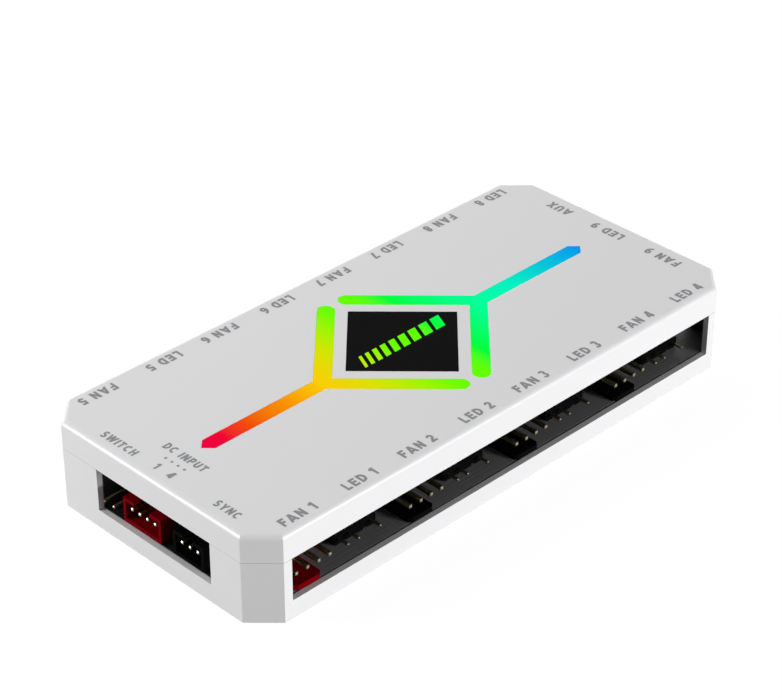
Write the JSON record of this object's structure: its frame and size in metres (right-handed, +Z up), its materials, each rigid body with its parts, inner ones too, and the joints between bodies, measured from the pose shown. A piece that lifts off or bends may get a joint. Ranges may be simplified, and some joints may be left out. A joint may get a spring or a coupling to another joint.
{
  "type": "pc fan controller hub",
  "caption": "Low white box with cut corners, rows of fan and light headers in side windows, end sockets, a black badge and forked lit guides on top; powers and drives PC fans and lights.",
  "frame": {"origin": "centre of the base, on the surface it stands on", "axes": "+X along the case away from the power socket, -Y the side with the red fan header, +Z up"},
  "size_m": [0.12, 0.056, 0.0178],
  "materials": {
    "case_white": "smooth satin white moulding",
    "guide_warm": "lit translucent guide, red through amber to lime",
    "guide_cool": "lit translucent guide, lime through green to blue",
    "badge_black": "smooth black tile with a plain coloured mark",
    "screw_steel": "plated steel",
    "board_black": "black solder mask over glass laminate",
    "header_black": "moulded black nylon",
    "header_red": "moulded red nylon",
    "pin_brass": "plated contact pins",
    "led_white": "white light source packages",
    "chip_black": "moulded chip packages",
    "can_aluminium": "bare cans",
    "resistor_dark": "chip resistors"
  },
  "bodies": {
    "root": {"top_cover": "case_white", "bottom_shell": "case_white", "light_guide_left": "guide_warm", "light_guide_right": "guide_cool", "badge_panel": "badge_black", "case_screws": "screw_steel", "main_board": "board_black", "fan_header_front_1": "header_red", "fan_pins_front_1": "pin_brass", "led_header_front_1": "header_black", "led_pins_front_1": "pin_brass", "fan_header_front_2": "header_black", "fan_pins_front_2": "pin_brass", "led_header_front_2": "header_black", "led_pins_front_2": "pin_brass", "fan_header_front_3": "header_black", "fan_pins_front_3": "pin_brass", "led_header_front_3": "header_black", "led_pins_front_3": "pin_brass", "fan_header_front_4": "header_black", "fan_pins_front_4": "pin_brass", "led_header_front_4": "header_black", "led_pins_front_4": "pin_brass", "fan_header_rear_1": "header_black", "fan_pins_rear_1": "pin_brass", "led_header_rear_1": "header_black", "led_pins_rear_1": "pin_brass", "fan_header_rear_2": "header_black", "fan_pins_rear_2": "pin_brass", "led_header_rear_2": "header_black", "led_pins_rear_2": "pin_brass", "fan_header_rear_3": "header_black", "fan_pins_rear_3": "pin_brass", "led_header_rear_3": "header_black", "led_pins_rear_3": "pin_brass", "fan_header_rear_4": "header_black", "fan_pins_rear_4": "pin_brass", "led_header_rear_4": "header_black", "led_pins_rear_4": "pin_brass", "fan_header_right": "header_black", "fan_pins_right": "pin_brass", "led_header_right": "header_black", "led_pins_right": "pin_brass", "panel_header": "header_black", "panel_pins": "pin_brass", "reset_header": "header_black", "reset_pins": "pin_brass", "power_socket": "header_red", "power_pins": "pin_brass", "mainboard_socket": "header_black", "mainboard_pins": "pin_brass", "light_leds": "led_white", "controller_chip": "chip_black", "driver_chips": "chip_black", "capacitors": "can_aluminium", "regulator": "chip_black", "chip_resistors": "resistor_dark"}
  },
  "joints": []
}
